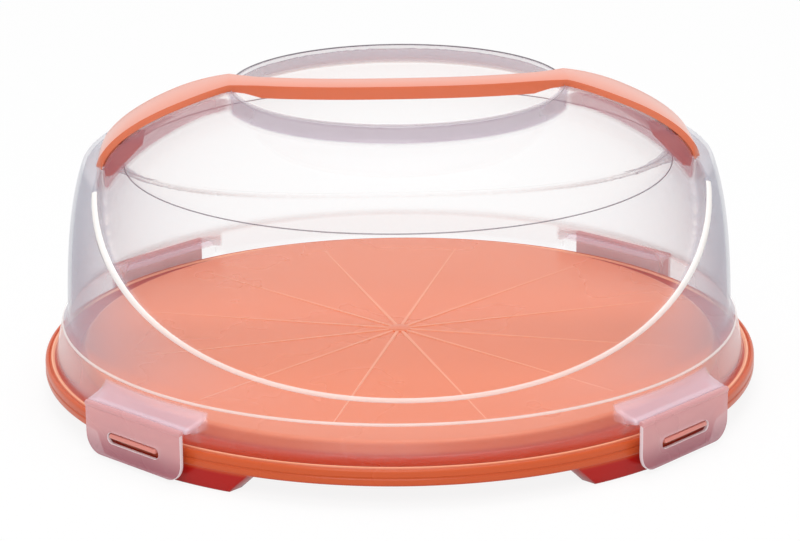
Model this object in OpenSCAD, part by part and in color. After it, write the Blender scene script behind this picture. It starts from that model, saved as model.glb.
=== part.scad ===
// Round cake carrier: a shallow tray, a clear domed lid held by four clips
// and a carrying handle set in the crown of the lid.
// Origin: centre of the four feet on the table, +Z up, +X along the handle,
// front towards -Y. All sizes in millimetres.

/* [Tray] */
// Outer diameter of the tray's rolled rim
rim_d = 340; // [320:1:380]
// Height of the rim's side wall
rim_h = 7.3; // [6.5:0.1:10]
// Wall thickness of the tray moulding
tray_wall = 2.2; // [1.8:0.1:2.8]
// Height of the raised cake floor over the rim's lower edge
floor_rise = 13.5; // [12:0.5:18]
// Width of the ring between the rim's outer edge and the raised floor
ledge_w = 15.5; // [14:0.5:20]
// Width of the slope between that ring and the raised floor
floor_slope = 4.5; // [3:0.5:7]
// Height of the raised rays and hub on the floor
ray_h = 0.5; // [0.3:0.1:1]
// Width of one ray
ray_w = 1.6; // [1:0.1:3]
// Length of the short rays
ray_short = 74; // [50:1:95]
// Length of the long rays
ray_long = 132; // [100:1:140]
// Number of rays
ray_count = 12; // [8:2:16]
// Turn of the first ray
ray_turn = 15; // [0:1:29]
// Diameter of the small hub in the middle of the floor
hub_d = 11; // [6:1:20]

/* [Feet] */
// Height of the feet under the rim's lower edge
foot_h = 9; // [6:0.5:14]
// Radial thickness of a foot
foot_t = 9; // [6:0.5:12]
// Length of a foot along the table
foot_l = 88; // [70:1:100]
// Run of the slanted foot ends
foot_slant = 12; // [6:1:16]

/* [Lid] */
// Wall thickness of the lid
lid_wall = 2; // [1.6:0.1:2.6]
// Distance of the skirt's outer edge from the rim's outer edge
skirt_in = 5; // [4.6:0.1:6]
// Height of the flared skirt
skirt_h = 16; // [14:0.5:20]
// How far the skirt leans in from its edge to its shoulder
skirt_lean = 3.2; // [2:0.1:5]
// Step in from the skirt's shoulder to the bell
bell_step = 3.4; // [2:0.1:5]
// Height of the bell's ears over the tray's seat
ear_h = 94; // [90:1:98]
// How far the bell draws in from its foot to its ears
bell_draw = 10; // [8:0.5:12]
// Height of the window edge over the seat at the front and back
swoop_low = 27.3; // [25:0.1:34]
// Distance of the window edge from the middle at the ears
swoop_half = 142; // [138:1:144]
// Depth of the window behind the bell at its lowest point
window_in = 1.2; // [0.8:0.1:2]
// Height of the foot of the crown's wall over the seat
shoulder_h = 119.9; // [116:0.1:122]

/* [Crown and handle] */
// Diameter of the round crown
crown_d = 158; // [146:1:166]
// Height of the crown over the seat
crown_h = 127.9; // [126:0.1:131]
// Diameter of the dish at the crown's rim
dish_d = 151; // [140:1:153]
// Diameter of the dish's flat floor
dish_floor_d = 96; // [80:1:110]
// Depth of the dish
dish_depth = 30; // [26:0.5:32]
// Thickness of the handle where it lies on the lid
strap_t = 3; // [2.4:0.1:4]
// Thickness of the free bar
bar_t = 6; // [5:0.1:8]
// Width of the free bar
bar_w = 17; // [14:0.5:22]
// Width of the handle half way down its arms
arm_w = 34; // [30:0.5:40]
// Width of the handle at its ends
end_w = 46; // [42:0.5:52]
// Height of the handle's shoulders over the seat
strap_h = 130.7; // [129:0.1:134]
// Sag of the bar between its shoulders
bar_sag = 2.8; // [0:0.1:4]
// Distance of the handle's ends from the middle
strap_half = 146; // [143:0.5:146.5]
// Drop of the handle's ends below its shoulders
strap_drop = 42; // [40:0.5:44]
// Length of the hooks that hold the handle under the lid
hook_l = 18; // [12:1:24]
// Height of those hooks
hook_h = 9; // [6:0.5:11]

/* [Clips] */
// Width of a clip
clip_w = 62; // [50:1:68]
// Thickness of a clip
clip_t = 2; // [1.6:0.1:2.4]
// Height of a clip below its hinge line
clip_h = 23; // [21:0.5:24]
// Corner radius of a clip
clip_corner = 8; // [4:0.5:10]
// Radius of the bead on the clip's hinge line
bead_r = 1.5; // [1.2:0.1:1.8]
// Distance of the hinge line from the rim's outer edge
hinge_out = 2.3; // [2.2:0.1:3]
// Height of the hinge line over the seat
hinge_up = 8.4; // [8:0.1:10]
// Rise of the lid's shelf from the hinge line to the lid's wall
shelf_rise = 4; // [2:0.1:6]
// Height of the flat pad's lower edge over the lid's edge
pad_low = 2.5; // [2:0.1:4]
// Thickness of the shelf
shelf_t = 2.2; // [1.8:0.1:3]
// Length of the slot in a clip
slot_l = 33; // [26:1:40]
// Height of the slot
slot_h = 5; // [4.6:0.1:5.6]
// Thickness of the tray's catch that stands in the slot
catch_t = 1.8; // [1.4:0.1:2]
// Gap between the catch and the end of the slot on each side
catch_gap = 1.5; // [1:0.1:3]
// How far the catch stands past the clip's outer face
catch_past = 0.4; // [0.2:0.1:0.6]

/* [Fit] */
// Gap between the lid's edge and the tray's seat
seat_gap = 0.3; // [0.2:0.05:0.5]
// Gap round the handle where it is pressed into the lid
press_gap = 0.15; // [0.1:0.05:0.3]
// Gap round the bead on the clip's hinge line
bead_gap = 0.3; // [0.2:0.05:0.4]
// Gap over the catch in the slot
slot_gap = 0.6; // [0.4:0.1:1]

/* [Hidden] */
$fn = 96;
big = 2 * rim_d;
tip = 0.01;
over = 20;
ridge_drop = 25;
arm_reach = 26;

rim_r = rim_d / 2;
seat_z = foot_h + rim_h;
floor_z = foot_h + floor_rise;
floor_r = rim_r - ledge_w - floor_slope;

lid_z = seat_z + seat_gap;
skirt_r = rim_r - skirt_in;
shoulder_r = skirt_r - skirt_lean;
bell_r = shoulder_r - bell_step;
bell_z = lid_z + skirt_h + bell_step;
ear_z = lid_z + ear_h;
ear_r = bell_r - bell_draw;
window_r = bell_r - window_in;
shoulder_z = lid_z + shoulder_h;
crown_r = crown_d / 2;
crown_z = lid_z + crown_h;
dish_z = crown_z - dish_depth;
ridge_z = ear_z - ridge_drop;

strap_z = lid_z + strap_h;
strap_end_z = strap_z - strap_drop;
waist_x = crown_r - 17;
arm_x = crown_r + arm_reach;
fillet_x = crown_r - 9;
fillet_l = 24;

hinge_d = rim_r + hinge_out;
hinge_z = lid_z + hinge_up;
clip_in = hinge_d - clip_t / 2;
slot_low = 15.4;
catch_top = hinge_z - slot_low + slot_h - slot_gap;
catch_l = slot_l - 2 * catch_gap;
catch_out = clip_in + clip_t + catch_past;
pad_d = skirt_r - 1.5;
pad_w = clip_w + 4;

function unit(v) = v / norm(v);

// Points of a cubic curve with n steps
function curve(a, b, c, d, n) = [for (i = [0:n])
    let(t = i / n, s = 1 - t)
    s * s * s * a + 3 * s * s * t * b + 3 * s * t * t * c + t * t * t * d];

// A line of points moved to its left by d
function aside(pts, d) = [for (i = [0:len(pts) - 1])
    let(a = pts[max(i - 1, 0)], b = pts[min(i + 1, len(pts) - 1)], t = unit(b - a))
    pts[i] + d * [-t[1], t[0]]];

// The same points mirrored to the other side and in the opposite order
function across(pts) = [for (i = [len(pts) - 1:-1:0]) [-pts[i][0], pts[i][1]]];
function below(pts) = [for (i = [len(pts) - 1:-1:0]) [pts[i][0], -pts[i][1]]];
function ease(t) = let(u = min(1, max(0, t))) u * u * (3 - 2 * u);

// Outer line of the skirt and bell, from the lid's edge up to its ears
bell_line = concat(
    [[skirt_r, lid_z], [shoulder_r, lid_z + skirt_h]],
    curve([bell_r, bell_z],
          [bell_r - 0.07 * bell_draw, bell_z + 0.39 * (ear_z - bell_z)],
          [bell_r - 0.26 * bell_draw, bell_z + 0.74 * (ear_z - bell_z)],
          [ear_r, ear_z], 10));

// Outer line of the window domes, up to the foot of the crown's wall
window_line = concat([[window_r, lid_z]],
    curve([window_r, bell_z],
          [window_r - 2.2, bell_z + 0.52 * (shoulder_z - bell_z)],
          [window_r - 0.37 * (window_r - crown_r), shoulder_z - 10.5],
          [crown_r, shoulder_z], 12));

// Edge between bell and windows, seen from the front
swoop_line = curve([0, lid_z + swoop_low],
                   [0.5 * swoop_half, lid_z + swoop_low],
                   [swoop_half - 4, lid_z + swoop_low + 0.24 * (ear_h - swoop_low)],
                   [swoop_half, ear_z + tip], 12);

// Top line of the handle, seen from the front
strap_line = concat(
    [for (i = [0:5]) let(t = i / 6) [t * crown_r, strap_z - bar_sag * (1 - pow(t, 2.5))]],
    curve([crown_r, strap_z],
          [crown_r + 17, strap_z - 2.8],
          [strap_half - 8, strap_z - 0.42 * strap_drop],
          [strap_half, strap_end_z], 12));

// Half width of the handle and of its free bar, seen from above
function strap_y(x) = bar_w / 2
    + (arm_w - bar_w) / 2 * ease((x - waist_x) / (arm_x - waist_x))
    + (end_w - arm_w) / 2 * pow(max(0, (x - arm_x) / (strap_half - arm_x)), 1.6);
function ridge_y(x) = strap_y(x)
    + (sqrt(pow(crown_r - 2, 2) - pow(fillet_x, 2)) - strap_y(fillet_x))
      * pow(max(0, 1 - (x - fillet_x) / fillet_l), 2.2);
function steps(a, b, n) = [for (i = [0:n]) a + (b - a) * i / n];

ridge_plan = [for (x = concat(steps(fillet_x, fillet_x + fillet_l, 8),
                              steps(arm_x, strap_half + 4, 6))) [x, ridge_y(x)]];
strap_plan = concat([[0, bar_w / 2]],
                    [for (x = steps(waist_x, arm_x, 10)) [x, strap_y(x)]],
                    [for (x = steps(arm_x + 6, strap_half + 4, 6)) [x, strap_y(x)]]);

// Thickness of the handle along its length
function strap_depth(x) = bar_t + (strap_t - bar_t) * ease((x - crown_r + 13) / 8);

module spun(line, low, top) {
    rotate_extrude()
        polygon(concat([[0, low]], line, [[0, top]]));
}

// A shape drawn as seen from the front, run from front to back
module front_prism(pts, depth) {
    translate([0, depth / 2, 0])
        rotate([90, 0, 0])
            linear_extrude(height = depth)
                polygon(pts);
}

module bell(inset) {
    line = aside(bell_line, inset);
    intersection() {
        spun(line, line[0][1] - (inset > 0 ? 5 : 0), line[len(line) - 1][1]);
        under_swoop(inset);
    }
}

module under_swoop(inset) {
    line = aside(swoop_line, -inset);
    front_prism(concat([[big, lid_z - 10], [big, ear_z - inset]],
                       [for (i = [len(line) - 1:-1:1]) [line[i][0], min(line[i][1], ear_z - inset)]],
                       [[0, line[0][1]]],
                       [for (i = [1:len(line) - 1]) [-line[i][0], min(line[i][1], ear_z - inset)]],
                       [[-big, ear_z - inset], [-big, lid_z - 10]]), big);
}

module window(inset) {
    line = aside(window_line, inset);
    spun(line, line[0][1], line[len(line) - 1][1]);
}

module ridge(inset) {
    top = aside(strap_line, -strap_t - inset);
    last = len(top) - 1;
    plan = aside(ridge_plan, -inset);
    intersection() {
        front_prism(concat([[-top[last][0], ridge_z]], across(top),
                           [for (i = [1:last]) top[i]], [[top[last][0], ridge_z]]), big);
        for (side = [0, 180])
            rotate([0, 0, side])
                translate([0, 0, ridge_z - 1])
                    linear_extrude(height = crown_z)
                        polygon(concat(plan, below(plan)));
    }
}

module crown(inset) {
    translate([0, 0, ridge_z])
        cylinder(r = crown_r - inset, h = crown_z - inset - ridge_z);
}

module dish(outset) {
    line = curve([dish_floor_d / 2, dish_z], [dish_d / 2 - 8, dish_z],
                 [dish_d / 2 - 4, crown_z - 14], [dish_d / 2, crown_z + tip], 8);
    wide = aside(line, -outset);
    rotate_extrude()
        polygon(concat([[0, dish_z - outset]], wide,
                       [[dish_d / 2 + outset, crown_z + over], [0, crown_z + over]]));
}

// Place a child at each of the four clips, facing outwards along +X
module at_clips() {
    for (turn = [45:90:315])
        rotate([0, 0, turn])
            children();
}

module side_prism(pts, width) {
    translate([0, width / 2, 0])
        rotate([90, 0, 0])
            linear_extrude(height = width)
                polygon(pts);
}

// Flat pad on the skirt and the shelf that carries a clip
module pad_and_shelf() {
    edge_d = hinge_d - 1.4;
    translate([bell_r - 8, -pad_w / 2, lid_z + pad_low])
        cube([pad_d - bell_r + 8, pad_w, hinge_z + 2 - lid_z - pad_low]);
    side_prism([[bell_r - 8, hinge_z + shelf_rise + shelf_t / 2],
                [bell_r, hinge_z + shelf_rise + shelf_t / 2],
                [edge_d, hinge_z + shelf_t / 2],
                [edge_d, hinge_z - shelf_t / 2],
                [pad_d - 1, hinge_z - shelf_t / 2],
                [bell_r - 8, hinge_z]], clip_w + 2);
}

module dome() {
    color([0.86, 0.87, 0.92, 0.35])
        difference() {
            union() {
                bell(0);
                window(0);
                ridge(0);
                crown(0);
                at_clips() pad_and_shelf();
            }
            difference() {
                union() {
                    bell(lid_wall);
                    window(lid_wall);
                    ridge(lid_wall);
                    crown(lid_wall);
                    translate([0, 0, lid_z - 1])
                        cylinder(r = window_r - lid_wall, h = 2);
                }
                dish(lid_wall);
            }
            dish(0);
            handle_body(press_gap);
            at_clips()
                translate([hinge_d, clip_w, hinge_z])
                    rotate([90, 0, 0])
                        cylinder(r = bead_r + bead_gap, h = 2 * clip_w);
        }
}

module handle_body(grow) {
    over = [for (p = aside(strap_line, grow)) p];
    under = [for (i = [0:len(strap_line) - 1])
        aside(strap_line, -strap_depth(strap_line[i][0]) - grow)[i]];
    last = len(strap_line) - 1;
    plan = aside(strap_plan, grow);
    side = [for (i = [1:len(plan) - 1]) plan[i]];
    intersection() {
        front_prism(concat(across(over), [for (i = [1:last]) over[i]],
                           [[over[last][0] + 0.1 * grow, over[last][1] - grow]],
                           [[under[last][0], over[last][1] - 1 - grow]],
                           [for (i = [last:-1:1]) under[i]], [under[0]],
                           [for (i = [1:last]) [-under[i][0], under[i][1]]],
                           [[-under[last][0], over[last][1] - 1 - grow]],
                           [[-over[last][0] - 0.1 * grow, over[last][1] - grow]]), big);
        linear_extrude(height = strap_z + 20)
            polygon(concat(side, below(side), [for (p = side) -p], across(side)));
    }
    hooks(grow);
}

module hooks(grow) {
    plan = [for (p = aside(strap_plan, -lid_wall - 0.4 + grow)) p];
    side = [for (i = [1:len(plan) - 1]) plan[i]];
    out_x = strap_half - strap_t / 2;
    intersection() {
        for (s = [-1, 1])
            translate([s * (out_x - hook_l / 2), 0, strap_end_z - 5 + hook_h / 2])
                cube([hook_l + 2 * grow, big, hook_h + 2 * grow], center = true);
        linear_extrude(height = strap_z + 20)
            polygon(concat(side, below(side), [for (p = side) -p], across(side)));
    }
}

module handle() {
    color([0.93, 0.45, 0.22]) handle_body(0);
}

module tray() {
    bead = rim_h * 0.14;
    color([0.92, 0.42, 0.2])
        union() {
            rotate_extrude()
                polygon([[0, floor_z],
                         [floor_r - 1, floor_z],
                         [floor_r, floor_z - 0.3],
                         [floor_r + 0.7, floor_z - 1],
                         [floor_r + floor_slope - 0.8, seat_z + 0.7],
                         [floor_r + floor_slope, seat_z],
                         [skirt_r + 0.7, seat_z],
                         [skirt_r + 1.1, seat_z + bead / 2],
                         [skirt_r + 1.9, seat_z + bead / 2],
                         [skirt_r + 2.4, seat_z - bead / 2],
                         [skirt_r + 2.9, seat_z - bead / 2],
                         [rim_r - 1, seat_z],
                         [rim_r - 0.3, seat_z - 0.5],
                         [rim_r, seat_z - 1.3],
                         [rim_r, foot_h + 0.6],
                         [rim_r - 0.6, foot_h],
                         [rim_r - tray_wall, foot_h],
                         [rim_r - tray_wall, seat_z - bead / 2 - tray_wall],
                         [floor_r + floor_slope - 1.4, seat_z - tray_wall],
                         [floor_r - 1.2, floor_z - tray_wall],
                         [0, floor_z - tray_wall]]);
            translate([0, 0, floor_z - tray_wall / 2])
                cylinder(d = hub_d, h = tray_wall / 2 + ray_h);
            for (i = [0:ray_count - 1])
                rotate([0, 0, ray_turn + i * 360 / ray_count])
                    translate([0, -ray_w / 2, floor_z - tray_wall / 2])
                        cube([i % 2 == 0 ? ray_long : ray_short, ray_w, tray_wall / 2 + ray_h]);
            at_clips() foot();
            at_clips() catch();
        }
}

// One foot: a length of ring with slanted ends
module foot() {
    intersection() {
        difference() {
            cylinder(r = rim_r - 0.4, h = foot_h + tray_wall);
            translate([0, 0, -1])
                cylinder(r = rim_r - foot_t, h = foot_h + tray_wall + 2);
        }
        translate([rim_r, 0, 0])
            rotate([90, 0, 90])
                linear_extrude(height = rim_r, center = true)
                    polygon([[-foot_l / 2, 0],
                             [foot_l / 2, 0],
                             [foot_l / 2 + foot_slant, foot_h + tray_wall],
                             [-foot_l / 2 - foot_slant, foot_h + tray_wall]]);
    }
}

// The catch that a clip's slot snaps over
module catch() {
    side_prism([[rim_r - tray_wall, catch_top - catch_t],
                [catch_out, catch_top - catch_t],
                [catch_out, catch_top - 0.5 * catch_t],
                [catch_out - 0.6, catch_top],
                [rim_r - tray_wall, catch_top]], catch_l);
}

module clip(turn) {
    color([0.84, 0.72, 0.78, 0.7])
        rotate([0, 0, turn])
            difference() {
                union() {
                    translate([hinge_d, clip_w / 2, hinge_z])
                        rotate([90, 0, 0])
                            cylinder(r = bead_r, h = clip_w);
                    translate([clip_in, -clip_w / 2, hinge_z - clip_h + clip_corner])
                        cube([clip_t, clip_w, clip_h - clip_corner]);
                    translate([clip_in, clip_corner - clip_w / 2, hinge_z - clip_h])
                        cube([clip_t, clip_w - 2 * clip_corner, clip_h]);
                    for (s = [-1, 1])
                        translate([clip_in, s * (clip_w / 2 - clip_corner),
                                   hinge_z - clip_h + clip_corner])
                            rotate([0, 90, 0])
                                cylinder(r = clip_corner, h = clip_t);
                }
                slot_cut();
            }
}

module slot_cut() {
    end_r = slot_h / 2;
    translate([clip_in - 1, -slot_l / 2 + end_r, hinge_z - slot_low])
        cube([clip_t + 2, slot_l - 2 * end_r, slot_h]);
    for (s = [-1, 1])
        translate([clip_in - 1, s * (slot_l / 2 - end_r), hinge_z - slot_low + end_r])
            rotate([0, 90, 0])
                cylinder(r = end_r, h = clip_t + 2);
}

module clip_front_left() {
    clip(225);
}

module clip_front_right() {
    clip(315);
}

module clip_back_right() {
    clip(45);
}

module clip_back_left() {
    clip(135);
}

tray();
dome();
handle();
clip_front_left();
clip_front_right();
clip_back_right();
clip_back_left();
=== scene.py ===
"""Round cake carrier: orange tray, clear domed lid, strap handle and four clips."""
import math
import bpy
from mathutils import Matrix, Vector


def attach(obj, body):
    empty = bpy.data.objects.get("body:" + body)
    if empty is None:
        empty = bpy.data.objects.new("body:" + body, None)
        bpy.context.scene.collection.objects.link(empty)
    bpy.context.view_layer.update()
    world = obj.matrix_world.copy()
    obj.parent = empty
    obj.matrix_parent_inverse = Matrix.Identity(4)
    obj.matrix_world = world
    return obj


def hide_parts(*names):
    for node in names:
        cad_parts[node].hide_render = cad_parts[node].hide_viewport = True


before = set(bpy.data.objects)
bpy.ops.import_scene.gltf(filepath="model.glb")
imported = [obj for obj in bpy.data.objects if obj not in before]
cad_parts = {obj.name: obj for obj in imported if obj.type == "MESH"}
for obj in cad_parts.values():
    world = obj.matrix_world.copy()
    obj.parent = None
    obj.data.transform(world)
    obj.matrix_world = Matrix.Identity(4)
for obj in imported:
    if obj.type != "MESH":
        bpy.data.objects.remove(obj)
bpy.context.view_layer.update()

scene = bpy.context.scene
MM = 0.001

# Sizes shared by the pieces, in millimetres
SEAT_Z = 16.3
LID_Z = 16.6
FLOOR_Z = 22.5
SKIRT_R = 165.0
SHOULDER_R = 161.8
BELL_R = 158.4
BELL_Z = 36.0
EAR_Z = 110.6
EAR_R = 148.4
WINDOW_R = 157.2
CROWN_FOOT_Z = 136.5
CROWN_R = 79.0
CROWN_Z = 144.5
DISH_Z = 114.5
STRAP_Z = 147.3
STRAP_T = 3.0
BAR_T = 6.0
STRAP_END_X = 141.5
STRAP_END_Z = 110.0
BAR_HALF = 8.5
ARM_X = 62.0
ARM_RUN = 43.0
HOOK_HALF = 13.5
RIM_R = 170.0
FLOOR_R = 148.4
TRAY_WALL = 2.2
FOOT_TOP = 11.2
CATCH_HALF = 15.0
RAY_START = 4.0
RAY_LENGTH = 128.0
RAY_COUNT = 12
HINGE_D = 172.3
HINGE_Z = 25.0
CLIP_HALF = 31.0
CLIP_DROP = 23.0
CLIP_CORNER = 9.0
CLIP_T = 2.0
SLOT_HALF = 14.0
SLOT_R = 2.5
SLOT_DROP = 12.9
PAD_HALF = 34.0
SHELF_HALF = 33.0
SWOOP_LOW = LID_Z + 27.3
ROOF_LINE_Z = 109.5
CLIP_TURNS = (45, 135, 225, 315)

# The lid's mesh: its wall, and how fine it is at full and quick quality
LID_WALL = 1.7
VOXEL, QUICK_VOXEL = 1.3, 2.2
KEPT_SHARE, QUICK_SHARE = 0.28, 0.8

# Steps round a full turn
ROUND = 256


# Modelling helpers

def deselect():
    if bpy.context.object and bpy.context.object.mode != "OBJECT":
        bpy.ops.object.mode_set(mode="OBJECT")
    bpy.ops.object.select_all(action="DESELECT")


def pick(piece):
    deselect()
    piece.select_set(True)
    bpy.context.view_layer.objects.active = piece
    return piece


def drawn(name, points):
    """A line of joined points, drawn from one vertex by extrusion."""
    deselect()
    bpy.ops.mesh.primitive_plane_add(size=0.001, location=(0, 0, 0))
    piece = bpy.context.object
    piece.name = name
    bpy.ops.object.mode_set(mode="EDIT")
    bpy.ops.mesh.select_mode(type="VERT")
    bpy.ops.mesh.select_all(action="SELECT")
    bpy.ops.mesh.merge(type="CENTER")
    bpy.ops.transform.translate(value=Vector(points[0]) * MM)
    for a, b in zip(points, points[1:]):
        bpy.ops.mesh.extrude_region_move(
            TRANSFORM_OT_translate={"value": (Vector(b) - Vector(a)) * MM})
    bpy.ops.mesh.select_all(action="SELECT")
    return piece


def turned(name, line, steps=ROUND):
    """A body of revolution from (radius, height) points, closed on its axis."""
    piece = drawn(name, [(r, 0, z) for r, z in line])
    bpy.ops.mesh.spin(steps=steps, angle=2 * math.pi, center=(0, 0, 0), axis=(0, 0, 1))
    bpy.ops.mesh.select_all(action="SELECT")
    bpy.ops.mesh.remove_doubles(threshold=1e-6)
    bpy.ops.mesh.normals_make_consistent(inside=False)
    bpy.ops.object.mode_set(mode="OBJECT")
    return piece


def extruded(name, outline, along):
    """A closed outline of 3-D points pushed along a vector."""
    piece = drawn(name, outline)
    bpy.ops.mesh.edge_face_add()
    bpy.ops.mesh.extrude_region_move(TRANSFORM_OT_translate={"value": Vector(along) * MM})
    bpy.ops.mesh.select_all(action="SELECT")
    bpy.ops.mesh.normals_make_consistent(inside=False)
    bpy.ops.object.mode_set(mode="OBJECT")
    return piece


def front_shape(name, outline):
    """An outline from the front, made deeper than the carrier."""
    return extruded(name, [(x, -200, z) for x, z in outline], (0, 400, 0))


def side_shape(name, outline, half):
    """An outline of (x, z) points, as wide to both sides of the XZ plane."""
    return extruded(name, [(x, -half, z) for x, z in outline], (0, 2 * half, 0))


def plan_shape(name, outline, low, high):
    """An outline from above, standing between two heights."""
    return extruded(name, [(x, y, low) for x, y in outline], (0, 0, high - low))


def modify(piece, kind, **settings):
    pick(piece)
    mod = piece.modifiers.new(kind.lower(), kind)
    for key, value in settings.items():
        setattr(mod, key, value)
    bpy.ops.object.modifier_apply(modifier=mod.name)
    return piece


def combine(piece, other, how):
    """Add, cut or keep the common part of two bodies."""
    modify(piece, "BOOLEAN", operation=how, object=other, solver="EXACT")
    bpy.data.objects.remove(other)
    return piece


def settle(piece):
    """Put the piece's place into its mesh."""
    pick(piece)
    bpy.ops.object.transform_apply(location=True, rotation=True, scale=True)
    return piece


def smooth(piece, angle):
    pick(piece)
    bpy.ops.object.shade_smooth_by_angle(angle=math.radians(angle))
    return piece


def eased_edges(piece, width, angle=50, segments=3):
    """Round the piece's sharp edges to a small radius."""
    return modify(piece, "BEVEL", width=width * MM, segments=segments, limit_method="ANGLE",
                  angle_limit=math.radians(angle))


def copied(piece, name, turn):
    """A copy with its own mesh, turned about the carrier's axis."""
    twin = piece.copy()
    twin.data = piece.data.copy()
    twin.name = name
    scene.collection.objects.link(twin)
    twin.matrix_world = Matrix.Rotation(math.radians(turn), 4, "Z")
    return settle(twin)


def joined(piece, parts):
    pick(piece)
    for part in parts:
        part.select_set(True)
    bpy.ops.object.join()
    return piece


def cylinder(name, radius, height, top, vertices=ROUND):
    deselect()
    bpy.ops.mesh.primitive_cylinder_add(vertices=vertices, radius=radius * MM, depth=height * MM,
                                        location=(0, 0, (top - height / 2) * MM))
    piece = settle(bpy.context.object)
    piece.name = name
    return piece


def bead_ring(name, radius, height, thick):
    """A thin round bead laid all the way round the lid."""
    deselect()
    bpy.ops.mesh.primitive_torus_add(major_radius=radius * MM, minor_radius=thick * MM,
                                     major_segments=ROUND, minor_segments=8,
                                     location=(0, 0, height * MM))
    piece = settle(bpy.context.object)
    piece.name = name
    return piece


def bead_along(name, path, thick, sides=10):
    """A round bead that follows 3-D points and thins out to nothing at both ends."""
    deselect()
    data = bpy.data.curves.new(name, "CURVE")
    data.dimensions = "3D"
    data.bevel_depth = MM
    data.bevel_resolution = (sides - 4) // 2
    line = data.splines.new("POLY")
    line.points.add(len(path) - 1)
    for point, place, size in zip(line.points, path, thick):
        point.co = (*(Vector(place) * MM), 1)
        point.radius = size
    piece = bpy.data.objects.new(name, data)
    scene.collection.objects.link(piece)
    pick(piece)
    bpy.ops.object.convert(target="MESH")
    piece = bpy.context.object
    bpy.ops.object.mode_set(mode="EDIT")
    bpy.ops.mesh.select_all(action="SELECT")
    bpy.ops.mesh.remove_doubles(threshold=1e-6)
    bpy.ops.mesh.select_all(action="DESELECT")
    bpy.ops.mesh.select_non_manifold()
    bpy.ops.mesh.fill_holes(sides=0)
    bpy.ops.mesh.select_all(action="SELECT")
    bpy.ops.mesh.normals_make_consistent(inside=False)
    bpy.ops.object.mode_set(mode="OBJECT")
    return piece


# Lines and widths

def curve(a, b, c, d, n):
    """Points of a cubic curve in n steps."""
    out = []
    for i in range(n + 1):
        t = i / n
        s = 1 - t
        out.append(tuple(s ** 3 * p + 3 * s * s * t * q + 3 * s * t * t * r + t ** 3 * w
                         for p, q, r, w in zip(a, b, c, d)))
    return out


def arc(y, z, r, sweep, n):
    """Points of an arc round (y, z) that starts straight below it, in n steps."""
    turns = [math.radians(-90 + sweep * i / n) for i in range(n + 1)]
    return [(y + r * math.cos(a), z + r * math.sin(a)) for a in turns]


def ease(t):
    """A soft step from 0 to 1."""
    t = min(1, max(0, t))
    return t * t * (3 - 2 * t)


def aside(line, d):
    """A line of 2-D points moved to its left."""
    out = []
    for i, (x, z) in enumerate(line):
        ax, az = line[max(i - 1, 0)]
        bx, bz = line[min(i + 1, len(line) - 1)]
        n = math.hypot(bx - ax, bz - az)
        out.append((x - d * (bz - az) / n, z + d * (bx - ax) / n))
    return out


def mirrored(line):
    return [(-x, z) for x, z in reversed(line)]


def both_ways(side):
    """A closed plan outline from the (x, half width) points of its right half."""
    front = [(x, -y) for x, y in reversed(side)]
    return side + front + [(-x, -y) for x, y in side] + mirrored(side)


def between(x, low, high):
    """The place on a straight line between two (value, result) points."""
    return low[1] + (high[1] - low[1]) * (x - low[0]) / (high[0] - low[0])


def radius_at(line, height):
    """Radius of a profile at a height."""
    for (r0, z0), (r1, z1) in zip(line, line[1:]):
        if z0 <= height <= z1:
            return r0 + (r1 - r0) * (height - z0) / (z1 - z0)
    return line[-1][0]


def bell_line():
    h = EAR_Z - BELL_Z
    return ([(SKIRT_R, LID_Z - 4), (SKIRT_R, LID_Z + 0.5), (SHOULDER_R, LID_Z + 15),
             (SHOULDER_R - 0.8, LID_Z + 17)]
            + curve((BELL_R, BELL_Z), (BELL_R - 0.7, BELL_Z + 0.39 * h),
                    (BELL_R - 2.6, BELL_Z + 0.74 * h), (EAR_R, EAR_Z), 24))


def window_line():
    h = CROWN_FOOT_Z - BELL_Z
    return ([(WINDOW_R, LID_Z)]
            + curve((WINDOW_R, BELL_Z), (WINDOW_R - 2.2, BELL_Z + 0.52 * h),
                    (WINDOW_R - 0.37 * (WINDOW_R - CROWN_R), CROWN_FOOT_Z - 10.5),
                    (CROWN_R, CROWN_FOOT_Z), 32))


def swoop_line():
    """Right half of the bell's swooping edge from the front, as (x, z) points."""
    return curve((0, SWOOP_LOW), (71, SWOOP_LOW), (142, SWOOP_LOW + 16), (139, EAR_Z + 0.01), 24)


def swoop_x(edge, z):
    """How far out the swooping edge is at a height."""
    k = next((i for i in range(1, len(edge)) if edge[i][1] >= z), len(edge) - 1)
    return between(z, edge[k - 1][::-1], edge[k][::-1])


def strap_line():
    """Right half of the strap's upper line from the front, as (x, z) points."""
    bar = []
    for i in range(10):
        t = i / 10
        bar.append((t * CROWN_R, STRAP_Z - 2.8 * (1 - t ** 2.5)))
    return bar + curve((CROWN_R, STRAP_Z), (96, STRAP_Z - 2.8), (137.5, STRAP_Z - 17.5),
                       (STRAP_END_X, STRAP_END_Z), 24)


def arm_half(x):
    """Half width of the strap, which doubles outside the crown."""
    return BAR_HALF * (1 + ease((x - ARM_X) / ARM_RUN))


def strap_half(x):
    """The strap's half width with its narrower end."""
    return arm_half(x) - 5 * ease((x - 138) / 5)


def ridge_half(x):
    """The ridge's half width, which flares where it meets the crown."""
    return arm_half(x) + 22.8 * max(0, 1 - (x - 70) / 24) ** 2.2


def strap_depth(x):
    """The free bar is thicker than the arms."""
    return BAR_T - (BAR_T - STRAP_T) * ease((x - 66) / 8)


# Pieces

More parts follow.
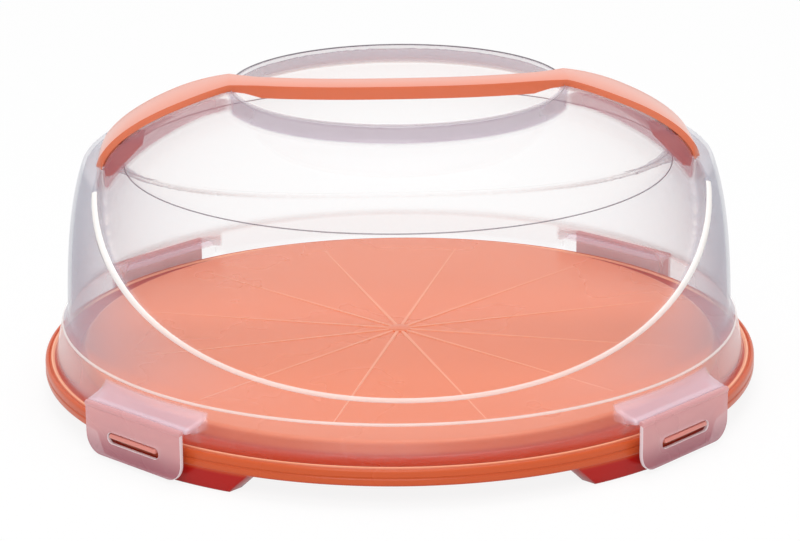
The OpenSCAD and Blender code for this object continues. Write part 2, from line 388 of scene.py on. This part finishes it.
def strap_body(name, grow=0.0):
    """The handle's outline from the front, kept within its outline from above."""
    line = strap_line()
    over = aside(line, grow)
    under = [aside(line, -strap_depth(x) - grow)[i] for i, (x, z) in enumerate(line)]
    end = (over[-1][0], over[-1][1] - grow)
    foot = (under[-1][0], over[-1][1] - 1 - grow)
    right = over[1:] + [end, foot] + under[:0:-1]
    strap = front_shape(name, right + [under[0]] + mirrored(right) + [over[0]])
    xs = [0, 20, 40, ARM_X] + [ARM_X + ARM_RUN * i / 12 for i in range(1, 13)]
    xs += [112, 120, 128, 134, 138, 139, 140, 141, 142, 143, 146]
    side = aside([(x, strap_half(x)) for x in xs], grow)[1:]
    return combine(strap, plan_shape("strap_plan", both_ways(side), 40, 190), "INTERSECT")


def ridge_body():
    """The two clear ridges that carry the handle's arms down to the bell."""
    top = [p for p in aside(strap_line(), -STRAP_T) if p[0] < 137]
    top += [(139.2, 110.4), (142.6, 110.2), (144.6, 105), (146.4, 99), (147.2, 93), (147.4, 86)]
    ridge = front_shape("ridge", top[::-1] + mirrored(top)[::-1][1:])
    xs = [70 + 2 * i for i in range(13)] + [100, 106, 112, 118, 124, 130, 136, 142, 150]
    side = [(x, ridge_half(x)) for x in xs]
    return combine(ridge, plan_shape("ridge_plan", both_ways(side), 80, 190), "INTERSECT")


def clip_seat(turn):
    """The flat pad and the sloping shelf that carry one clip's hinge."""
    inner, outer, top = 150, HINGE_D - 1.1, HINGE_Z + 5.1
    section = [(inner, LID_Z + 2.5), (163.7, LID_Z + 2.5), (163.7, HINGE_Z + 2), (inner, HINGE_Z + 2)]
    pad = side_shape("pad", section, PAD_HALF)
    section = [(inner, top), (BELL_R, top), (outer, HINGE_Z + 1.3), (outer, HINGE_Z - 1.2),
               (162.5, HINGE_Z - 1.2), (inner, HINGE_Z - 1)]
    seat = combine(pad, side_shape("shelf", section, SHELF_HALF), "UNION")
    twin = copied(seat, "clip_seat", turn)
    bpy.data.objects.remove(seat)
    return twin


def dome_block():
    """The lid's outer form as one closed body."""
    line = bell_line()
    dome = turned("dome_shell", [(0, line[0][1])] + line + [(0, EAR_Z)])
    edge = swoop_line()
    right = [(200, EAR_Z)] + edge[:0:-1]
    under = front_shape("below_swoop", [(200, LID_Z - 10)] + right + [edge[0]]
                        + mirrored(right) + [(-200, LID_Z - 10)])
    combine(dome, under, "INTERSECT")
    line = window_line()
    combine(dome, turned("window", [(0, line[0][1])] + line + [(0, CROWN_FOOT_Z)]), "UNION")
    combine(dome, ridge_body(), "UNION")
    combine(dome, cylinder("crown", CROWN_R, 50, CROWN_Z), "UNION")
    for turn in CLIP_TURNS:
        combine(dome, clip_seat(turn), "UNION")
    bowl = curve((48, DISH_Z), (67.5, DISH_Z), (71.5, CROWN_Z - 14), (75.5, CROWN_Z + 0.1), 20)
    top = CROWN_Z + 20
    combine(dome, turned("dish", [(0, DISH_Z)] + bowl + [(76, top), (0, top)], 192), "DIFFERENCE")
    return combine(dome, strap_body("strap_seat", 0.3), "DIFFERENCE")


def swoop_places(count, lift, end):
    """Points of the bell's swooping edge at the front, from its middle to a share of its end."""
    bell, edge = bell_line(), swoop_line()
    half = []
    for i in range(count + 1):
        t = end * i / count * (len(edge) - 1)
        k = min(int(t), len(edge) - 2)
        (x0, z0), (x1, z1) = edge[k], edge[k + 1]
        x, z = x0 + (x1 - x0) * (t - k), z0 + (z1 - z0) * (t - k)
        r = radius_at(bell, z) + lift
        half.append((x, -math.sqrt(max(0, r * r - x * x)), z))
    return half


def front_bead(name, lift, thin, wide):
    """The rounded rib along the swooping edge; it is widest near the ears."""
    half = swoop_places(60, lift, 0.985)
    path = [(-x, y, z) for x, y, z in half[:0:-1]] + half
    sizes = []
    for x, y, z in path:
        rise = (z - SWOOP_LOW) / (EAR_Z - SWOOP_LOW)
        closing = 1 - ease((rise - 0.96) / 0.05)
        sizes.append((thin + (wide - thin) * ease(1.4 * rise)) * closing + 0.05)
    return bead_along(name, path, sizes)


def step_line(side, back):
    """The fine outer edge of the step beside the rib, on one side of the bell."""
    bell, edge = bell_line(), swoop_line()
    path, sizes = [], []
    for i in range(33):
        t = i / 32
        z = 70 + 37 * t
        r = radius_at(bell, z)
        turn = math.asin(swoop_x(edge, z) / r) + math.radians(2.2) * math.sin(math.pi * t) ** 0.8
        path.append((side * r * math.sin(turn), back * -r * math.cos(turn), z))
        sizes.append(0.05 + 0.38 * math.sin(math.pi * t) ** 0.6)
    return bead_along("step_line", path, sizes, 8)


def lid_beads():
    """Ribs and fine edge lines that stand on the lid, each with its finish; the ribs are real rounded
    edges, and their white is a painted highlight.
    """
    beads = []
    front = front_bead("swoop_rib", -0.15, 1.15, 2.05)
    for turn in (0, 180):
        beads.append((copied(front, "swoop_rib_turned", turn), RIB_HIGHLIGHT))
    bpy.data.objects.remove(front)
    for side in (-1, 1):
        for back in (-1, 1):
            beads.append((step_line(side, back), LINE))
    beads.append((bead_ring("shoulder_bead", SHOULDER_R - 1.1, LID_Z + 17.2, 0.75), RIB_HIGHLIGHT))
    beads.append((bead_ring("crown_lip", CROWN_R - 0.5, CROWN_Z - 0.1, 0.33), LIP))
    roof_r = radius_at(window_line(), ROOF_LINE_Z)
    beads.append((bead_ring("roof_line", roof_r, ROOF_LINE_Z, 0.30), LINE))
    return beads


def mark_windows(dome):
    """Writes how far inside the swooping edges each point lies, from 0 on the bell to 1."""
    edge = swoop_line()
    inset = dome.data.attributes.new("inset", "FLOAT", "POINT")
    for v, mark in zip(dome.data.vertices, inset.data):
        x, z = abs(v.co.x) / MM, v.co.z / MM
        if z >= EAR_Z:
            mark.value = 1.0
        elif z > SWOOP_LOW:
            mark.value = min(1, max(0, (swoop_x(edge, z) - x) / 5))


def make_dome():
    """The lid as a thin shell that keeps the fine mesh's shading, with its beads."""
    dome = dome_block()
    modify(dome, "REMESH", mode="VOXEL", voxel_size=VOXEL * MM)
    modify(dome, "SMOOTH", factor=0.5, iterations=8)
    pick(dome)
    bpy.ops.object.mode_set(mode="EDIT")
    bpy.ops.mesh.select_all(action="SELECT")
    bpy.ops.mesh.bisect(plane_co=(0, 0, LID_Z * MM), plane_no=(0, 0, 1), clear_inner=True)
    bpy.ops.object.mode_set(mode="OBJECT")
    modify(dome, "SOLIDIFY", thickness=LID_WALL * MM, offset=-1.0, use_even_offset=False)
    smooth(dome, 60)
    fine = dome.copy()
    fine.data = dome.data.copy()
    scene.collection.objects.link(fine)
    modify(dome, "DECIMATE", ratio=KEPT_SHARE)
    smooth(dome, 60)
    modify(dome, "DATA_TRANSFER", object=fine, use_loop_data=True,
           data_types_loops={"CUSTOM_NORMAL"}, loop_mapping="POLYINTERP_NEAREST")
    bpy.data.objects.remove(fine)
    dome.data.materials.clear()
    dome.data.materials.append(CLEAR)
    mark_windows(dome)
    beads = lid_beads()
    for bead, finish in beads:
        bead.data.materials.append(finish)
        smooth(bead, 60)
    return joined(dome, [bead for bead, finish in beads])


def make_handle():
    """The strap with a wedge-shaped hook under each end."""
    handle = strap_body("strap_handle")
    hook = [(119.5, 120.2), (133.6, 120.2), (138.4, 110.5), (137.2, 105), (133.8, 105.6)]
    for s in (-1, 1):
        combine(handle, side_shape("hook", [(s * x, z) for x, z in hook], HOOK_HALF), "UNION")
    eased_edges(handle, 1.2, 38, 4)
    return smooth(handle, 40)


def make_clip():
    """One clip on the +X side: a plate with round lower corners, a slot and a hinge bead."""
    low = HINGE_Z - CLIP_DROP + CLIP_CORNER
    corner = arc(CLIP_HALF - CLIP_CORNER, low, CLIP_CORNER, 90, 10)
    outline = corner + [(CLIP_HALF, HINGE_Z), (-CLIP_HALF, HINGE_Z)] + mirrored(corner)
    plate = extruded("clip", [(HINGE_D - CLIP_T / 2, y, z) for y, z in outline], (CLIP_T, 0, 0))
    end = arc(SLOT_HALF, HINGE_Z - SLOT_DROP, SLOT_R, 180, 12)
    slot = extruded("slot", [(HINGE_D - 4, y, z) for y, z in end + mirrored(end)], (8, 0, 0))
    combine(plate, slot, "DIFFERENCE")
    eased_edges(plate, 0.55)
    bead = cylinder("hinge_bead", 1.5, 2 * CLIP_HALF, CLIP_HALF, 32)
    eased_edges(bead, 0.6)
    bead.matrix_world = (Matrix.Translation((HINGE_D * MM, 0, HINGE_Z * MM))
                         @ Matrix.Rotation(math.radians(90), 4, "X"))
    combine(plate, settle(bead), "UNION")
    plate.data.materials.clear()
    plate.data.materials.append(MILKY)
    plate.data.materials.append(MILKY_EDGE)
    for face in plate.data.polygons:
        flat = abs(face.normal.x) > 0.9 or face.center.z > (HINGE_Z - 4) * MM
        face.material_index = 0 if flat else 1
    return smooth(plate, 40)


def flipped(piece, turn):
    """Swaps a piece's left and right about its own place on the rim."""
    spin = Matrix.Rotation(math.radians(turn), 4, "Z")
    piece.data.transform(spin @ Matrix.Scale(-1, 4, (0, 1, 0)) @ spin.inverted())
    piece.data.flip_normals()


def tray_line():
    """Section of the tray: floor, its step down to the seat, the double rim and its lip."""
    top = [(0, FLOOR_Z), (FLOOR_R, FLOOR_Z), (FLOOR_R + 0.9, FLOOR_Z - 0.1),
           (FLOOR_R + 1.8, FLOOR_Z - 0.5), (FLOOR_R + 2.6, FLOOR_Z - 1.3),
           (FLOOR_R + 4.8, SEAT_Z + 1.2), (FLOOR_R + 5.4, SEAT_Z + 0.35), (FLOOR_R + 6.4, SEAT_Z)]
    bead = [(-4.4, 0), (-4.1, 0.15), (-3.8, 0.5), (-3.3, 0.65), (-2.9, 0.5), (-2.65, 0)]
    groove = [(-2.4, -0.4), (-2.1, -0.5), (-1.85, -0.35), (-1.65, 0.05)]
    lip = [(-1.3, 0.25), (-0.8, 0.2), (-0.35, -0.2), (-0.1, -0.8), (0, -1.6), (0, -2.9)]
    face = [(-0.45, -3.3), (-0.5, -3.6), (-0.45, -3.9), (0, -4.3), (0, -6.1), (-0.2, -6.8)]
    back = [(-0.6, -7.2), (-1.2, -7.3), (-1.8, -7.3), (-2.2, -7.1), (-2.2, -2.9), (-2.8, -2.2)]
    rim = [(RIM_R + r, SEAT_Z + z) for r, z in bead + groove + lip + face + back]
    under = [(FLOOR_R + 4.7, SEAT_Z - TRAY_WALL), (FLOOR_R + 0.8, FLOOR_Z - TRAY_WALL - 0.1),
             (FLOOR_R - 0.2, FLOOR_Z - TRAY_WALL), (0, FLOOR_Z - TRAY_WALL)]
    return top + rim + under


def make_foot():
    """One foot on the +X side; it reaches further to the left than to the right."""
    outline = [(-26, 0), (49, 0), (60, FOOT_TOP), (-33, FOOT_TOP)]
    foot = extruded("foot", [(RIM_R + 2, y, z) for y, z in outline], (-30, 0, 0))
    combine(foot, cylinder("outer", RIM_R - 0.4, 22, 20), "INTERSECT")
    combine(foot, cylinder("inner", RIM_R - 9, 24, 21), "DIFFERENCE")
    return eased_edges(foot, 1.2)


def make_catch():
    """The lug on the rim that one clip snaps over."""
    section = [(167.8, 12.2), (173.7, 12.2), (173.7, 13.1), (173.1, 14.0), (167.8, 14.0)]
    return eased_edges(side_shape("catch", section, CATCH_HALF), 0.3, 35, 2)


def make_ray():
    """One raised ray of the floor along +X, which gets lower and thinner outwards."""
    section = [(-1.3, -0.5), (-0.8, 0.3), (0, 0.5), (0.8, 0.3), (1.3, -0.5)]
    ray = extruded("ray", [(RAY_START, y, FLOOR_Z + z) for y, z in section], (RAY_LENGTH, 0, 0))
    for v in ray.data.vertices:
        if v.co.x > 2 * RAY_START * MM:
            v.co.y *= 0.35
            v.co.z = min(v.co.z, (FLOOR_Z + 0.05) * MM)
    return ray


def make_tray():
    """The tray moulding with its feet, catches, hub and rays."""
    tray = turned("tray_moulding", tray_line())
    tray.data.materials.append(TRAY_ORANGE)
    tray.data.materials.append(RAY_HIGHLIGHT_ORANGE)
    foot, catch, ray = make_foot(), make_catch(), make_ray()
    for pattern, finish in ((foot, TRAY_ORANGE), (catch, CATCH_PINK), (ray, RAY_HIGHLIGHT_ORANGE)):
        pattern.data.materials.append(finish)
    parts = []
    for turn in CLIP_TURNS:
        parts.append(copied(foot, "foot_turned", turn))
        if turn % 180 == 135:
            flipped(parts[-1], turn)
        parts.append(copied(catch, "catch_turned", turn))
    hub = cylinder("hub", 5.5, 1.6, FLOOR_Z + 0.5, 64)
    eased_edges(hub, 0.5)
    hub.data.materials.append(TRAY_ORANGE)
    parts.append(hub)
    for i in range(RAY_COUNT):
        parts.append(copied(ray, "ray_turned", (i + 0.5) * 360 / RAY_COUNT))
    for pattern in (foot, catch, ray):
        bpy.data.objects.remove(pattern)
    return smooth(joined(tray, parts), 40)


# Finishes

def moulded_grain():
    """Fine uneven skin of moulded plastic: a height, a shade and a gloss change."""
    group = bpy.data.node_groups.new("moulded grain", "ShaderNodeTree")
    face = group.interface
    for name, default in (("Scale", 900.0), ("Depth", 0.3), ("Shade", 0.04)):
        face.new_socket(name, in_out="INPUT", socket_type="NodeSocketFloat").default_value = default
    face.new_socket("Color", in_out="INPUT", socket_type="NodeSocketColor")
    face.new_socket("Gloss", in_out="INPUT", socket_type="NodeSocketFloat").default_value = 0.3
    face.new_socket("Color", in_out="OUTPUT", socket_type="NodeSocketColor")
    face.new_socket("Roughness", in_out="OUTPUT", socket_type="NodeSocketFloat")
    face.new_socket("Height", in_out="OUTPUT", socket_type="NodeSocketFloat")
    n, l = group.nodes, group.links
    inside, outside = n.new("NodeGroupInput"), n.new("NodeGroupOutput")
    coords = n.new("ShaderNodeTexCoord")
    fine, broad = n.new("ShaderNodeTexNoise"), n.new("ShaderNodeTexNoise")
    broad.inputs["Scale"].default_value = 14
    broad.inputs["Detail"].default_value = 3
    l.new(coords.outputs["Object"], fine.inputs["Vector"])
    l.new(coords.outputs["Object"], broad.inputs["Vector"])
    l.new(inside.outputs["Scale"], fine.inputs["Scale"])
    height = sums(n, l, "MULTIPLY", fine.outputs["Fac"], inside.outputs["Depth"])
    l.new(height, outside.inputs["Height"])
    shift = sums(n, l, "SUBTRACT", broad.outputs["Fac"], 0.5)
    amount = sums(n, l, "MULTIPLY", shift, inside.outputs["Shade"])
    hue = n.new("ShaderNodeHueSaturation")
    l.new(inside.outputs["Color"], hue.inputs["Color"])
    l.new(sums(n, l, "ADD", amount, 1.0), hue.inputs["Value"])
    l.new(hue.outputs["Color"], outside.inputs["Color"])
    rough = sums(n, l, "MULTIPLY_ADD", shift, 0.12, inside.outputs["Gloss"])
    l.new(rough, outside.inputs["Roughness"])
    return group


def sums(n, l, how, *values):
    """A Math node fed by sockets or numbers; gives its output."""
    node = n.new("ShaderNodeMath")
    node.operation = how
    for slot, value in zip(node.inputs, values):
        if isinstance(value, (int, float)):
            slot.default_value = value
        else:
            l.new(value, slot)
    return node.outputs[0]


def both(n, l, first, *others):
    """The product of masks: where all of them hold."""
    for other in others:
        first = sums(n, l, "MULTIPLY", first, other)
    return first


def parts_of(n, l, what):
    """X, Y and Z of the place or the normal on the object."""
    coords, split = n.new("ShaderNodeTexCoord"), n.new("ShaderNodeSeparateXYZ")
    l.new(coords.outputs[what], split.inputs[0])
    return tuple(split.outputs)


def along(n, l, x, y, u, v):
    """The dot product of two flat vectors."""
    return sums(n, l, "ADD", sums(n, l, "MULTIPLY", x, u), sums(n, l, "MULTIPLY", y, v))


def off_axis(n, l, x, y):
    """Distance from the carrier's axis."""
    return sums(n, l, "SQRT", along(n, l, x, y, x, y))


def outward(n, l):
    """Above 0 on faces that look away from the carrier's axis, below 0 on those towards it."""
    x, y = parts_of(n, l, "Object")[:2]
    u, v = parts_of(n, l, "Normal")[:2]
    return along(n, l, x, y, u, v)


def ramp(n, l, value, start, end, low=0.0, high=1.0, soft=True):
    """Goes from low to high as a value goes from start to end."""
    node = n.new("ShaderNodeMapRange")
    node.interpolation_type = "SMOOTHSTEP" if soft else "LINEAR"
    l.new(value, node.inputs["Value"])
    node.inputs["From Min"].default_value = start
    node.inputs["From Max"].default_value = end
    node.inputs["To Min"].default_value = low
    node.inputs["To Max"].default_value = high
    return node.outputs["Result"]


def mask(n, l, length, start, end, low=0.0, high=1.0):
    """A soft step along a length, between two places in millimetres."""
    return ramp(n, l, length, start * MM, end * MM, low, high)


def scaled(n, l, value, low, high):
    """A value of 0 to 1 spread evenly from low to high."""
    return ramp(n, l, value, 0.0, 1.0, low, high, soft=False)


def blend(n, l, kind, factor, a, b):
    """Mixes two numbers or two colours by a mask; gives the output."""
    node = n.new("ShaderNodeMix")
    node.data_type = kind
    slots = [s for s in node.inputs if s.enabled]
    for slot, value in zip(slots, (factor, a, b)):
        if hasattr(value, "links"):
            l.new(value, slot)
        elif kind == "RGBA" and value is not factor:
            slot.default_value = (*value, 1)
        else:
            slot.default_value = value
    return next(s for s in node.outputs if s.enabled)


def plastic(name, color, gloss, scale, depth, shade, bump):
    """A moulded plastic whose colour, gloss and skin come from the grain group."""
    mat = bpy.data.materials.new(name)
    mat.use_nodes = True
    n, l = mat.node_tree.nodes, mat.node_tree.links
    skin = n["Principled BSDF"]
    grain = n.new("ShaderNodeGroup")
    grain.node_tree = GRAIN
    grain.inputs["Scale"].default_value = scale
    grain.inputs["Depth"].default_value = depth
    grain.inputs["Shade"].default_value = shade
    grain.inputs["Color"].default_value = (*color, 1)
    grain.inputs["Gloss"].default_value = gloss
    l.new(grain.outputs["Color"], skin.inputs["Base Color"])
    l.new(grain.outputs["Roughness"], skin.inputs["Roughness"])
    dent = n.new("ShaderNodeBump")
    dent.inputs["Strength"].default_value = bump
    dent.inputs["Distance"].default_value = 0.0002
    l.new(grain.outputs["Height"], dent.inputs["Height"])
    l.new(dent.outputs["Normal"], skin.inputs["Normal"])
    skin.inputs["IOR"].default_value = 1.49
    return mat, n, l, skin, grain


def linear(r, g, b):
    """Screen colour of 0 to 255 as the renderer's linear colour."""
    return tuple(((c / 255 + 0.055) / 1.055) ** 2.4 if c > 10 else c / 3294.6 for c in (r, g, b))


def tinted(n, l, tint, layers):
    """Lays colours over a tint, each by its own mask; gives the last output."""
    for where, color in layers:
        tint = blend(n, l, "RGBA", where, tint, linear(*color))
    return tint


def tray_plastic():
    """Orange plastic with painted light: a paler floor as painted sheen, a dark seat as painted shade,
    a bright bead on the rim as a painted highlight, deep red feet as painted shade.
    """
    mat, n, l, skin, grain = plastic("orange tray plastic with painted light", linear(207, 88, 43), 0.28,
                                     700, 0.5, 0.10, 0.2)
    x, y, z = parts_of(n, l, "Object")
    r = off_axis(n, l, x, y)
    # Painted sheen: the floor is made paler to stand in for the lid's haze and the top light falling
    # on it.
    floor = mask(n, l, z, FLOOR_Z - 2, FLOOR_Z - 0.3)
    # Painted shade: the seat under the lid's edge is darkened, as it lies in shadow there.
    seat = both(n, l, mask(n, l, z, SEAT_Z + 2.2, SEAT_Z + 0.5), mask(n, l, r, RIM_R - 4, RIM_R - 4.7))
    # Painted highlight: the rim's rounded bead is made bright where it catches the light.
    bead = both(n, l, mask(n, l, r, RIM_R - 4.8, RIM_R - 4.1), mask(n, l, r, RIM_R - 2.4, RIM_R - 3.1),
                mask(n, l, z, SEAT_Z - 0.5, SEAT_Z - 0.1))
    # Painted shade: the feet, which stand in shadow, are made deep red.
    foot = mask(n, l, z, FOOT_TOP - 0.7, FOOT_TOP - 3.7)
    layers = ((floor, (232, 126, 86)), (seat, (190, 62, 36)), (bead, (250, 178, 142)),
              (foot, (176, 14, 4)))
    l.new(tinted(n, l, grain.outputs["Color"], layers), skin.inputs["Base Color"])
    skin.inputs["Specular IOR Level"].default_value = 0.3
    return mat


def strap_plastic():
    """Orange plastic under a glossier skin."""
    mat, _, _, skin, _ = plastic("orange handle plastic", linear(226, 112, 66), 0.30,
                                 700, 0.4, 0.08, 0.15)
    skin.inputs["Coat Weight"].default_value = 0.7
    skin.inputs["Coat Roughness"].default_value = 0.25
    return mat


def turned_away(n, l, power):
    """0 where the surface is seen square on, rising to 1 where it turns away."""
    turn = n.new("ShaderNodeLayerWeight")
    turn.inputs["Blend"].default_value = 0.5
    return sums(n, l, "POWER", turn.outputs["Facing"], power)


def less_inside(n, l, alpha, share):
    """Only a share of the cover where a surface is seen from its back."""
    inner = n.new("ShaderNodeNewGeometry").outputs["Backfacing"]
    return both(n, l, alpha, scaled(n, l, inner, 1.0, share))


def lit_through(n, l, alpha):
    """Lets most light through to what stands behind, whatever the surface shows itself."""
    shadow = n.new("ShaderNodeLightPath").outputs["Is Shadow Ray"]
    return both(n, l, alpha, scaled(n, l, shadow, 1.0, 0.3))


def clear_plastic():
    """The lid's clear plastic: open seen square on, grey at its outline, milky where it is thick."""
    mat, n, l, skin, grain = plastic("clear lid plastic", linear(244, 246, 255), 0.12,
                                     300, 0.2, 0.02, 0.03)
    x, y, z = parts_of(n, l, "Object")
    x, y = sums(n, l, "ABSOLUTE", x), sums(n, l, "ABSOLUTE", y)
    r = off_axis(n, l, x, y)
    sideways = sums(n, l, "ABSOLUTE", parts_of(n, l, "Normal")[1])
    out = sums(n, l, "MULTIPLY", sums(n, l, "ADD", x, y), math.sqrt(0.5))
    gap = sums(n, l, "ABSOLUTE", sums(n, l, "SUBTRACT", x, y))
    across = sums(n, l, "MULTIPLY", gap, math.sqrt(0.5))

    ridge = both(n, l, ramp(n, l, sideways, 0.5, 0.85), mask(n, l, x, 64, 78),
                 mask(n, l, y, 37, 31), mask(n, l, z, 88, 98))
    crown = both(n, l, mask(n, l, r, CROWN_R - 2.8, CROWN_R - 1.8),
                 mask(n, l, r, CROWN_R + 2.5, CROWN_R + 1), mask(n, l, z, 133.5, CROWN_FOOT_Z))
    dish = both(n, l, mask(n, l, r, CROWN_R - 2.5, CROWN_R - 3.5),
                mask(n, l, z, DISH_Z - 2.5, DISH_Z - 0.5))
    roof = mask(n, l, z, 108, 114)
    skirt = both(n, l, mask(n, l, z, 34.5, 32.5), mask(n, l, z, 18.5, 22.5, 0.25, 1.0))
    shelf = both(n, l, mask(n, l, out, 157, 159), mask(n, l, across, SHELF_HALF + 1, SHELF_HALF - 0.5),
                 mask(n, l, z, HINGE_Z - 1.8, HINGE_Z - 0.5), mask(n, l, z, 32.5, 31))

    layers = ((turned_away(n, l, 1.3), (102, 106, 142)), (roof, (250, 250, 253)),
              (crown, (170, 148, 168)), (ridge, (182, 122, 132)), (skirt, (240, 216, 214)),
              (shelf, (236, 212, 224)))
    l.new(tinted(n, l, grain.outputs["Color"], layers), skin.inputs["Base Color"])

    inset = n.new("ShaderNodeAttribute")
    inset.attribute_name = "inset"
    alpha = both(n, l, scaled(n, l, turned_away(n, l, 1.9), 0.03, 0.86),
                 scaled(n, l, inset.outputs["Fac"], 1.0, 0.40), scaled(n, l, roof, 1.0, 0.6),
                 scaled(n, l, dish, 1.0, 0.2))
    alpha = blend(n, l, "FLOAT", crown, alpha, 0.52)
    alpha = blend(n, l, "FLOAT", ridge, alpha, 0.55)
    alpha = sums(n, l, "MAXIMUM", alpha, sums(n, l, "MULTIPLY", skirt, 0.10))
    alpha = blend(n, l, "FLOAT", shelf, alpha, 0.50)
    alpha = both(n, l, alpha, mask(n, l, z, LID_Z + 0.6, LID_Z + 3.2, 0.08, 1.0))
    l.new(lit_through(n, l, less_inside(n, l, alpha, 0.5)), skin.inputs["Alpha"])
    return mat


def rib_highlight_plastic():
    """Rounded ribs with a painted highlight: white along the swooping edge and the shoulder, denser
    towards the ears, and almost unseen from inside the lid.
    """
    mat, n, l, skin, _ = plastic("rib plastic, painted highlight", linear(255, 250, 246), 0.2,
                                 300, 0.2, 0.02, 0.03)
    z = parts_of(n, l, "Object")[2]
    alpha = both(n, l, mask(n, l, z, 45, 95, 0.55, 0.92), mask(n, l, outward(n, l), -10, 20))
    l.new(less_inside(n, l, alpha, 0.05), skin.inputs["Alpha"])
    return mat


def see_through(name, color, least, most, gloss):
    """Plain see-through plastic that is denser where it turns away."""
    mat, n, l, skin, grain = plastic(name, color, gloss, 400, 0.3, 0.03, 0.05)
    l.new(scaled(n, l, turned_away(n, l, 2.0), least, most), skin.inputs["Alpha"])
    return mat, n, l, skin, grain


def lip_plastic():
    """The crown's upper edge: a grey line seen from inside, pale seen from outside."""
    mat, n, l, skin, grain = plastic("crown edge plastic", linear(120, 112, 122), 0.3,
                                     300, 0.2, 0.02, 0.03)
    outer = mask(n, l, outward(n, l), -20, 20)
    layers = ((outer, (240, 228, 234)),)
    l.new(tinted(n, l, grain.outputs["Color"], layers), skin.inputs["Base Color"])
    l.new(scaled(n, l, outer, 0.75, 0.35), skin.inputs["Alpha"])
    return mat


def shaded_clip_plastic():
    """Milky clip plastic with painted shade: mauve in its lower half."""
    mat, n, l, skin, grain = see_through("milky clip plastic, painted shade below", linear(234, 176, 178), 0.62, 0.85, 0.28)
    # Painted shade: the lower half darkens to mauve, standing in for the shade on the clip's lower
    # part and the dark red foot behind it.
    low = mask(n, l, parts_of(n, l, "Object")[2], 16.5, 3.5)
    layers = ((low, (186, 116, 128)),)
    l.new(tinted(n, l, grain.outputs["Color"], layers), skin.inputs["Base Color"])
    return mat


GRAIN = moulded_grain()
TRAY_ORANGE = tray_plastic()
# Painted highlight: the rays are made pale orange to stand in for the light that their fine raised
# sides catch.
RAY_HIGHLIGHT_ORANGE = plastic("pale orange ray, painted highlight", linear(240, 152, 116), 0.30,
                     700, 0.4, 0.05, 0.1)[0]
STRAP_ORANGE = strap_plastic()
CLEAR = clear_plastic()
# Painted highlight: the swoop rib and the shoulder bead are white where their rounded edges catch the
# light.
RIB_HIGHLIGHT = rib_highlight_plastic()
LINE = see_through("grey edge of the lid", linear(140, 128, 138), 0.55, 0.8, 0.3)[0]
LIP = lip_plastic()
CATCH_PINK = plastic("pink catch plastic", linear(222, 138, 126), 0.3, 700, 0.4, 0.05, 0.1)[0]
MILKY = shaded_clip_plastic()
MILKY_EDGE = see_through("bright clip edge", linear(247, 236, 240), 0.75, 0.9, 0.25)[0]


def place_piece(piece, body, node, finish=None):
    """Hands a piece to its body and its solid."""
    if finish:
        piece.data.materials.clear()
        piece.data.materials.append(finish)
    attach(piece, body)
    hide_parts(node)


place_piece(make_tray(), "tray", "tray")
place_piece(make_handle(), "lid", "handle", STRAP_ORANGE)
place_piece(make_dome(), "lid", "dome")
pattern = make_clip()
for node, turn in (("clip_front_left", 225), ("clip_front_right", 315),
                   ("clip_back_right", 45), ("clip_back_left", 135)):
    place_piece(copied(pattern, node + "_plate", turn), node, node)
bpy.data.objects.remove(pattern)


# Studio

def seen_straight(n, l):
    """1 for what the camera or a mirror-like surface sees, 0 for what lights the carrier."""
    path = n.new("ShaderNodeLightPath")
    return sums(n, l, "MAXIMUM", path.outputs["Is Camera Ray"], path.outputs["Is Glossy Ray"])


def make_floor():
    deselect()
    bpy.ops.mesh.primitive_plane_add(size=8, location=(0, 0, -0.0002))
    floor = settle(bpy.context.object)
    floor.name = "studio_floor"
    mat = bpy.data.materials.new("white studio floor")
    mat.use_nodes = True
    n, l = mat.node_tree.nodes, mat.node_tree.links
    skin = n["Principled BSDF"]
    skin.inputs["Base Color"].default_value = (0.9, 0.9, 0.9, 1)
    skin.inputs["Roughness"].default_value = 0.9
    glow, mixed = n.new("ShaderNodeEmission"), n.new("ShaderNodeMixShader")
    l.new(sums(n, l, "MULTIPLY", seen_straight(n, l), 0.88), mixed.inputs["Fac"])
    l.new(skin.outputs[0], mixed.inputs[1])
    l.new(glow.outputs[0], mixed.inputs[2])
    l.new(mixed.outputs[0], n["Material Output"].inputs["Surface"])
    floor.data.materials.append(mat)


def make_world():
    world = bpy.data.worlds.new("white studio")
    scene.world = world
    world.use_nodes = True
    n, l = world.node_tree.nodes, world.node_tree.links
    l.new(scaled(n, l, seen_straight(n, l), 0.55, 1.0), n["Background"].inputs["Strength"])
    n["Background"].inputs["Color"].default_value = (1, 1, 1, 1)


def make_lamp(name, place, size, power):
    lamp = bpy.data.lights.new(name, "AREA")
    lamp.size = size
    lamp.energy = power
    holder = bpy.data.objects.new(name, lamp)
    scene.collection.objects.link(holder)
    holder.location = place
    aim = Vector((0, 0, 0.08)) - Vector(place)
    holder.rotation_euler = aim.to_track_quat("-Z", "Y").to_euler()


def make_camera():
    """The viewing point solved from the photograph's rim, crown and handle."""
    rise, turn, roll = math.radians(17.7), math.radians(2.0), math.radians(0.49)
    unit, reach, focal_px, picture_px, film = 0.17, 8, 2838, 800, 36
    aim = Vector((0.0028, 0, 0.252)) * unit
    eye = aim + Vector((0, -reach * math.cos(rise), reach * math.sin(rise))) * unit
    about = Matrix.Rotation(-turn, 4, "Z")
    lift = Vector((0, 0, 0.009))
    aim, eye = about @ aim + lift, about @ eye + lift
    camera = bpy.data.objects.new("camera", bpy.data.cameras.new("camera"))
    scene.collection.objects.link(camera)
    camera.data.sensor_width = film
    camera.data.lens = focal_px * film / picture_px
    look = (aim - eye).to_track_quat("-Z", "Y").to_matrix().to_4x4()
    camera.matrix_world = Matrix.Translation(eye) @ look @ Matrix.Rotation(-roll, 4, "Z")
    scene.camera = camera


make_floor()
make_world()
make_lamp("key", (-0.3, -1.6, 1.8), 1.4, 20)
make_lamp("top", (0.1, 0.4, 2.4), 1.4, 22)
make_camera()
scene.view_settings.view_transform = "Standard"
scene.cycles.transparent_max_bounces = 32
